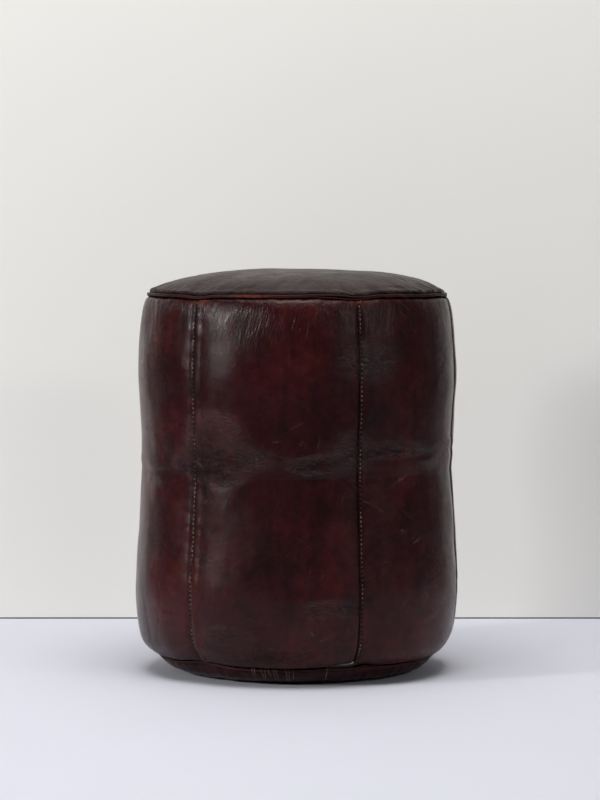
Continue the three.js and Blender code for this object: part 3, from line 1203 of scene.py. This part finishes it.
def round_sheet(
    name, surface, rows, columns, sizes, depth, thickness, rub=no_rub, wrinkled=0.0
):
    """A sheet that goes right round the drum, laid on one of the surfaces."""
    piece, column, row = grid_piece(name, columns + 1, len(rows))
    theta = column * 360 / columns
    along = rows[row]
    points, fine = surface(theta, along, sizes, depth)
    lay(piece, points, relief=fine, rub=rub(theta, along), wrinkled=wrinkled + 0 * theta)
    map_uv(piece, theta * ARC, along)
    close_seam()
    thicken(piece, thickness)
    return piece


class POUF_OT_top_panel(bpy.types.Operator):
    """The round top, domed by the filling and gathered a little at its rim"""

    bl_idname = "pouf.top_panel"
    bl_label = "Top Panel"

    def execute(self, context):
        sizes, colours = settings()
        rows = spaced(0, (6, 2.0), (110, 3.6), (160, 2.4), (CROWN.length, 1.3))[::-1]
        thick = sizes.leather
        piece = round_sheet(
            "top_leather", crown_surface, rows, 540, sizes, 0, thick, rub=top_rub, wrinkled=0.15
        )
        finish_piece(piece, crown_leather(colours), "crown_leather", "top_panel")
        return {"FINISHED"}


class POUF_OT_base_panel(bpy.types.Operator):
    """The round base, flat where it stands"""

    bl_idname = "pouf.base_panel"
    bl_label = "Base Panel"

    def execute(self, context):
        sizes, colours = settings()
        rows = spaced(0, (BASE_FLAT - 4, 6.0), (BASE.length, 1.2))
        piece = round_sheet("base_leather", base_surface, rows, 480, sizes, 0, sizes.leather)
        finish_piece(piece, base_leather(colours), "base_leather", "bottom_panel")
        return {"FINISHED"}


def face_outwards():
    """Turns the faces of the selected mesh outwards."""
    bpy.ops.object.mode_set(mode="EDIT")
    bpy.ops.mesh.select_all(action="SELECT")
    bpy.ops.mesh.normals_make_consistent(inside=False)
    bpy.ops.object.mode_set(mode="OBJECT")


LIP_DEPTH = 11  # mm from a lip's outer edge in to its fold


def lip_section(fold, edge, floor, layer, opening):
    """The section of a folded strip, open at its outer edge: points of (radius, height)."""
    middle = floor + layer + opening / 2
    rounding = 0.3 * layer
    pinch = 0.06  # mm, where the seam's thread holds it
    lower = [
        (fold, floor),
        ((fold + edge) / 2, floor + pinch),
        (edge - 3, floor),
        (edge - rounding, floor),
        (edge, floor + rounding),
        (edge, floor + layer - 0.3 * rounding),
        (edge - 0.3 * rounding, floor + layer),
        (edge - 3, middle - 0.4 * opening),
        (fold + 2, middle - 0.05),
    ]
    upper = [(r, 2 * middle - h) for r, h in lower][::-1]
    return lower + upper


class POUF_OT_lips(bpy.types.Operator):
    """The folded leather strips that stand out of the two rim seams"""

    bl_idname = "pouf.lips"
    bl_label = "Lips"

    def execute(self, context):
        sizes, colours = settings()
        material = lip_leather(colours)
        turn = np.linspace(0, 360, 900, endpoint=False)
        layer = sizes.lip_leather

        opening = 0.04 + 1.9 * hump(turn_from(turn, 17), 0, 9)
        opening = opening + 0.8 * fade(3 * waves(turn, 90, 81) - 1.2)
        edge = TOP_LIP_RADIUS - 1.2 + 0.9 * waves(turn, 40, 82) + 0.5 * waves(turn, 13, 83)
        floor = TOP_LIP_FLOOR + top_lip_shift(turn, sizes) - opening / 2 + 0.1
        rubbed = hump(turn_from(turn, -17), 0, 7)
        rubbed = rubbed + 0.4 * fade(2.5 * waves(turn, 70, 84) - 1.0)
        section = TOP_LIP_RADIUS - LIP_DEPTH, edge, floor, layer, opening
        self.make("top_lip", turn, section, rubbed, material, "top_welt")

        opening = 0.2 + 0.9 * fade(3 * waves(turn, 70, 85) - 0.6)
        edge = BASE_LIP_RADIUS - 0.2 + 0.7 * waves(turn, 36, 86) + 0.4 * waves(turn, 12, 87)
        floor = BASE_LIP_FLOOR + base_lip_shift(turn, sizes) - opening / 2 + 0.1
        rubbed = 0.1 + 0.45 * waves(turn, 60, 88)
        section = BASE_LIP_RADIUS - LIP_DEPTH, edge, floor, 0.8 * layer, opening
        self.make("base_lip", turn, section, rubbed, material, "bottom_welt")
        return {"FINISHED"}

    def make(self, name, turn, section, rubbed, material, node):
        """One strip all round the drum, from its section at each angle."""
        loops = lip_section(*section)
        loops = loops + loops[:1]
        radii = np.array([r + 0 * turn for r, _ in loops])
        heights = np.array([h + 0 * turn for _, h in loops])
        edge = section[1]
        piece, column, row = grid_piece(name, len(turn) + 1, len(loops))
        spot = column % len(turn)
        radius, height = radii[row, spot], heights[row, spot]
        cut_edge = np.exp(-((edge[spot] - radius) / 0.7))
        points = round_the_drum(turn[spot], radius, height)
        lay(piece, points, relief=0 * radius, rub=np.clip(cut_edge * rubbed[spot], 0, 1))
        map_uv(piece, turn[spot] * ARC, row * 2.0)
        close_seam()
        face_outwards()
        finish_piece(piece, material, "welt_leather", node)


def tube_rows(path, sideways, upwards, radius, sides):
    """Rings of points along a path: (rings, sides, 3)."""
    around = np.linspace(0, 2 * np.pi, sides, endpoint=False)
    ring = np.cos(around)[:, None] * sideways[:, None, :]
    ring = ring + np.sin(around)[:, None] * upwards[:, None, :]
    return path[:, None, :] + radius[:, None, None] * ring


RING_STEP, SIDE_STEP = 0.7, 0.35  # mm between the UV map's points along and round a thread


def join_tubes(name, tubes, sides):
    """One mesh of closed tubes, each an array of (rings, sides, 3) in mm."""
    points, faces, start, lengthwise, around = [], [], 0, [], []
    for tube in tubes:
        rings = len(tube)
        points.append(tube.reshape(-1, 3))
        lengthwise.append(np.repeat(np.arange(rings), sides) * RING_STEP)
        around.append(np.tile(np.arange(sides), rings) * SIDE_STEP)
        for ring in range(rings - 1):
            for side in range(sides):
                a = start + ring * sides + side
                b = start + ring * sides + (side + 1) % sides
                faces.append((a, b, b + sides, a + sides))
        faces.append(tuple(start + side for side in range(sides))[::-1])
        faces.append(tuple(start + (rings - 1) * sides + side for side in range(sides)))
        start += rings * sides
    mesh = bpy.data.meshes.new(name)
    mesh.from_pydata([tuple(p) for p in np.vstack(points) * MM], [], faces)
    piece = bpy.data.objects.new(name, mesh)
    bpy.context.collection.objects.link(piece)
    clear_selection()
    bpy.context.view_layer.objects.active = piece
    piece.select_set(True)
    map_uv(piece, np.concatenate(around), np.concatenate(lengthwise))
    face_outwards()
    return piece


class POUF_OT_seam_stitches(bpy.types.Operator):
    """A row of waxed stitches down each side seam"""

    bl_idname = "pouf.seam_stitches"
    bl_label = "Seam Stitches"

    SEED = 91  # of the stitches' unevenness

    def execute(self, context):
        sizes, colours = settings()
        material = seam_thread(colours)
        chance = np.random.default_rng(self.SEED)
        sides, rings = 7, 7
        for number, seam in enumerate(seam_angles(sizes), start=1):
            count = int((SIDE.length - 26) / sizes.stitch_pitch)
            tubes = []
            for i in range(count):
                middle = FIRST_STITCH + (i + 0.5) * sizes.stitch_pitch
                half = 0.31 * sizes.stitch_pitch * chance.uniform(0.85, 1.1)
                slant = chance.uniform(-0.25, 0.25)
                part = np.linspace(-1, 1, rings)
                along = middle + half * part
                theta = seam + (slant * part + chance.uniform(-0.15, 0.15)) / ARC
                rise = LAP_STEP + 0.42 * sizes.thread - 1.5 * np.abs(part) ** 3.2
                path, _ = side_surface(theta, along, sizes, depth=-rise)
                forward = unit(np.gradient(path, axis=0))
                out = round_the_drum(theta, 1.0 + 0 * theta, 0 * theta)
                sideways = unit(np.cross(forward, out))
                upwards = np.cross(sideways, forward)
                radius = sizes.thread / 2 * (1 - 0.25 * np.abs(part) ** 3)
                radius = radius * chance.uniform(0.9, 1.1)
                tubes.append(tube_rows(path, sideways, upwards, radius, sides))
            piece = join_tubes(f"side_stitches_{number}", tubes, sides)
            finish_piece(piece, material, "seam_thread", f"side_seam_thread_{number}")
        return {"FINISHED"}


class POUF_OT_closing_stitches(bpy.types.Operator):
    """Pale hand stitches over the base lip, where the filling went in"""

    bl_idname = "pouf.closing_stitches"
    bl_label = "Closing Stitches"

    # angle of each stitch, how far its foot leans in mm, and the height of its foot in mm
    STITCHES = (
        (-18.0, 0.3, 9),
        (-16.9, -0.8, 7),
        (-14.6, 2.6, 11),
        (-12.4, -3.6, 8),
        (-11.6, 3.0, 12),
        (-9.4, 1.6, 8),
        (-8.4, 3.2, 4),
        (-4.4, 1.5, 4),
        (-3.0, -1.3, 4),
        (-1.6, 0.4, 10),
        (11.8, 0.5, 9),
    )

    def execute(self, context):
        sizes, colours = settings()
        soiled = (0.09, 0.035, 0.026)
        material = thread_material("Closing thread", colours.closing_thread, soiled, 0.42)
        tubes = []
        sides, rings = 7, 25
        clear = 0.5 * sizes.thread
        for angle, lean, foot in self.STITCHES:
            shift = float(base_lip_shift(np.array([angle]), sizes)[0])
            lip = BASE_LIP_RADIUS + 0.5
            down = []
            for part in (0.0, 0.5, 0.9):
                place = BASE.along_at_height(foot + part * (BASE_LIP_FLOOR - 1.5 - foot))
                radius, height, out_radius, out_height = BASE.at(place)
                down.append((radius + clear * out_radius, height + clear * out_height))
            knots = Outline(
                down
                + [
                    (lip + 0.3, BASE_LIP_FLOOR + shift - 0.2),
                    (lip + 0.6, (BASE_LIP_FLOOR + BASE_LIP_HEIGHT) / 2 + shift),
                    (lip, BASE_LIP_HEIGHT + shift + 0.4),
                    (lip - 5, BASE_LIP_HEIGHT + shift + 0.5),
                ]
            )
            along = np.linspace(0, knots.length, rings)
            radius, height, out_radius, out_height = knots.at(along)
            theta = angle + lean * (1 - along / knots.length) / ARC
            path = round_the_drum(theta, radius, height)
            upwards = round_the_drum(theta, out_radius, out_height)
            sideways = unit(np.cross(unit(np.gradient(path, axis=0)), upwards))
            thin = 0.42 * sizes.thread * (1 + 0.15 * np.sin(along * 3 + angle))
            tubes.append(tube_rows(path, sideways, upwards, thin, sides))
        piece = join_tubes("closing_stitches", tubes, sides)
        finish_piece(piece, material, "closing_thread", "closing_thread")
        return {"FINISHED"}


def neck(radius, *heights):
    """Rings where the filling is narrower, behind the leather turned into a rim seam."""

    def surface(theta, height, sizes, depth):
        return round_the_drum(theta, radius + 0 * theta, height), None

    return surface, np.array(heights)


class POUF_OT_inner_bag(bpy.types.Operator):
    """The cloth bag and its filling, which show only where a seam gapes"""

    bl_idname = "pouf.inner_bag"
    bl_label = "Inner Bag"

    CLOTH_GAP, CLOTH, WADDING_GAP = 0.5, 0.8, 1.4  # mm

    def execute(self, context):
        sizes, colours = settings()
        calico = cloth_material("Calico", colours.calico, 0.0006)
        depth = sizes.leather + self.CLOTH_GAP
        tucked_in = functools.partial(side_surface, lifted=0.25)
        side_rows = spaced(2, (20, 2), (SIDE.length - 10, 4.5))
        top_rows = spaced(0, (CROWN.length - 16, 6.0))[::-1]
        base_rows = spaced(0, (BASE.length - 14, 6.0))
        for name, surface, rows, node in (
            ("bag_side", tucked_in, side_rows, "liner_side"),
            ("bag_top", crown_surface, top_rows, "liner_top"),
            ("bag_base", base_surface, base_rows, "liner_base"),
        ):
            piece = round_sheet(name, surface, rows, 300, sizes, depth, self.CLOTH)
            finish_piece(piece, calico, "calico", node)
        self.fill(sizes, colours, depth + self.WADDING_GAP)
        return {"FINISHED"}

    def fill(self, sizes, colours, depth):
        """The wadding: one closed mesh, from the middle of the base to the middle of the top."""
        stretches = (
            (base_surface, spaced(0, (BASE_FLAT, 12), (BASE.length - 22, 4))),
            neck(BASE_LIP_RADIUS - 15, BASE_LIP_FLOOR - 5, BASE_LIP_HEIGHT + 7),
            (side_surface, spaced(16, (SIDE.length - 16, 6))),
            neck(TOP_LIP_RADIUS - 15, TOP_LIP_FLOOR - 7, TOP_LIP_HEIGHT + 3),
            (crown_surface, spaced(0, (CROWN.length - 18, 8))[::-1]),
        )
        turns = 200
        rows = sum(len(places) for _, places in stretches)
        piece, column, row = grid_piece("filling_wadding", turns + 1, rows)
        theta = column * 360 / turns
        points = np.zeros((len(row), 3))
        start = 0
        for surface, places in stretches:
            here = (row >= start) & (row < start + len(places))
            points[here] = surface(theta[here], places[row[here] - start], sizes, depth)[0]
            start += len(places)
        lay(piece, points)
        map_uv(piece, theta * ARC, row * 6.0)
        close_seam()
        wadding = cloth_material("Wadding", colours.wadding, 0.0012)
        finish_piece(piece, wadding, "wadding", "filling")


class POUF_OT_rim_threads(bpy.types.Operator):
    """The machine rows inside the two rim seams"""

    bl_idname = "pouf.rim_threads"
    bl_label = "Rim Threads"

    def execute(self, context):
        _, colours = settings()
        material = seam_thread(colours)
        for node in ("top_rim_thread", "bottom_rim_thread"):
            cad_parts[node].material_slots[0].material = material
        return {"FINISHED"}


class POUF_OT_stage(bpy.types.Operator):
    """Floor, wall, soft daylight and the camera"""

    bl_idname = "pouf.stage"
    bl_label = "Stage"

    camera_height: bpy.props.FloatProperty(name="Camera height", default=0.530, unit="LENGTH")
    camera_distance: bpy.props.FloatProperty(name="Camera distance", default=3.665, unit="LENGTH")
    wall_distance: bpy.props.FloatProperty(name="Wall distance", default=0.475, unit="LENGTH")

    FLOOR, WALL, JOINT = (2.6, 3.8), (1.5, 4.0), (1.5, 0.0018)  # m
    FLOOR_MIDDLE = 0.95  # m behind the drum's axis
    CAMERA_SHIFT = 0.0034  # m to the right
    CAMERA_TILT = 3.04  # degrees below level
    LENS, SENSOR = 132.2, 36  # mm

    def execute(self, context):
        _, colours = settings()
        scene = context.scene
        scene.view_settings.view_transform = "Standard"
        floor = self.plane(
            "floor", (0, self.FLOOR_MIDDLE, -0.0001), 0, self.FLOOR, colours.floor, 0.75
        )
        wall = self.plane("wall", (0, self.wall_distance, 2.0), 90, self.WALL, colours.wall, 0.9)
        in_front = (0, self.wall_distance - 0.0005, self.JOINT[1] / 2)
        joint = self.plane("joint", in_front, 90, self.JOINT, (0.06, 0.045, 0.045), 0.9)
        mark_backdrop(floor, wall, joint)

        self.light("left lamp", (-2.75, -1.55, 1.22), 0.42, 53, (1.0, 0.985, 0.965))
        self.light("right lamp", (2.5, -1.9, 1.45), 0.36, 12, (1.0, 0.99, 0.98))
        self.light("ceiling", (0.0, -0.7, 2.9), 2.0, 78, (1.0, 0.985, 0.95))
        self.light_room(scene)

        clear_selection()
        bpy.ops.object.camera_add(
            location=(self.CAMERA_SHIFT, -self.camera_distance, self.camera_height),
            rotation=(math.radians(90 - self.CAMERA_TILT), 0, 0),
        )
        scene.camera = context.object
        scene.camera.data.lens = self.LENS
        scene.camera.data.sensor_width = self.SENSOR
        return {"FINISHED"}

    def plane(self, name, place, turn, size, colour, roughness):
        """A flat part of the stage, clear from behind."""
        clear_selection()
        bpy.ops.mesh.primitive_plane_add(
            size=1, location=place, rotation=(math.radians(turn), 0, 0)
        )
        piece = bpy.context.object
        piece.name = name
        piece.scale = (*size, 1)
        material = self.plain(name.capitalize(), colour, roughness)
        piece.data.materials.append(self.one_sided(material))
        return piece

    def light_room(self, scene):
        """A dim room all round, which looks pale where the camera sees it beyond the floor."""
        world = bpy.data.worlds.new("Room")
        world.use_nodes = True
        tree = world.node_tree
        seen = tree.nodes.new("ShaderNodeLightPath").outputs["Is Camera Ray"]
        dim, pale = (
            add_node(tree, "ShaderNodeBackground", {"Color": colour, "Strength": strength})
            for colour, strength in (((0.95, 0.97, 1.0, 1), 0.12), ((0.74, 0.73, 0.71, 1), 1.0))
        )
        mix = add_node(
            tree, "ShaderNodeMixShader", {0: seen, 1: dim.outputs[0], 2: pale.outputs[0]}
        )
        tree.links.new(mix.outputs[0], tree.nodes["World Output"].inputs["Surface"])
        scene.world = world

    def one_sided(self, material):
        """The material, made clear where it is seen from behind."""
        tree = material.node_tree
        shader = tree.nodes["Principled BSDF"]
        clear = tree.nodes.new("ShaderNodeBsdfTransparent").outputs[0]
        back = tree.nodes.new("ShaderNodeNewGeometry").outputs["Backfacing"]
        mix = add_node(tree, "ShaderNodeMixShader", {0: back, 1: shader.outputs[0], 2: clear})
        tree.links.new(mix.outputs[0], tree.nodes["Material Output"].inputs["Surface"])
        return material

    def plain(self, name, colour, roughness):
        """A dull material with faint clouds in its colour."""
        material, tree, shader, place = new_material(name)
        cloud = noise_node(tree, place, 1.3, 2.0)
        cloud = scaled(tree, cloud, 0.3, 0.7)
        shade = blend_colours(tree, cloud, colour, [0.97 * c for c in colour])
        tree.links.new(shade, shader.inputs["Base Color"])
        shader.inputs["Roughness"].default_value = roughness
        shader.inputs["Specular IOR Level"].default_value = 0.2
        return material

    def light(self, name, place, size, power, colour):
        """A square lamp aimed at the middle of the drum."""
        clear_selection()
        bpy.ops.object.light_add(type="AREA", location=place)
        lamp = bpy.context.object
        lamp.name = name
        lamp.data.shape = "SQUARE"
        lamp.data.size = size
        lamp.data.energy = power
        lamp.data.color = colour
        aim = np.array((0.0, 0.0, 0.25)) - np.array(place)
        lamp.rotation_euler = (
            math.atan2(math.hypot(aim[0], aim[1]), -aim[2]),
            0,
            math.atan2(-aim[0], aim[1]),
        )


OPERATORS = (
    POUF_OT_side_panels,
    POUF_OT_top_panel,
    POUF_OT_base_panel,
    POUF_OT_lips,
    POUF_OT_seam_stitches,
    POUF_OT_closing_stitches,
    POUF_OT_inner_bag,
    POUF_OT_rim_threads,
    POUF_OT_stage,
)


class POUF_PT_sidebar(bpy.types.Panel):
    """Lists the pouf's pieces"""

    bl_label = "Drum Pouf"
    bl_idname = "POUF_PT_sidebar"
    bl_space_type = "VIEW_3D"
    bl_region_type = "UI"
    bl_category = "Pouf"

    def draw(self, context):
        for operator in OPERATORS:
            self.layout.operator(operator.bl_idname)


CLASSES = (PoufSizes, PoufColours, *OPERATORS, POUF_PT_sidebar)


def register():
    for cls in CLASSES:
        bpy.utils.register_class(cls)
    bpy.types.Scene.pouf_sizes = bpy.props.PointerProperty(type=PoufSizes)
    bpy.types.Scene.pouf_colours = bpy.props.PointerProperty(type=PoufColours)


def unregister():
    del bpy.types.Scene.pouf_colours
    del bpy.types.Scene.pouf_sizes
    for cls in reversed(CLASSES):
        bpy.utils.unregister_class(cls)


def main():
    register()
    for operator in OPERATORS:
        group, name = operator.bl_idname.split(".")
        getattr(getattr(bpy.ops, group), name)()
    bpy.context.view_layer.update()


if __name__ == "__main__":
    main()
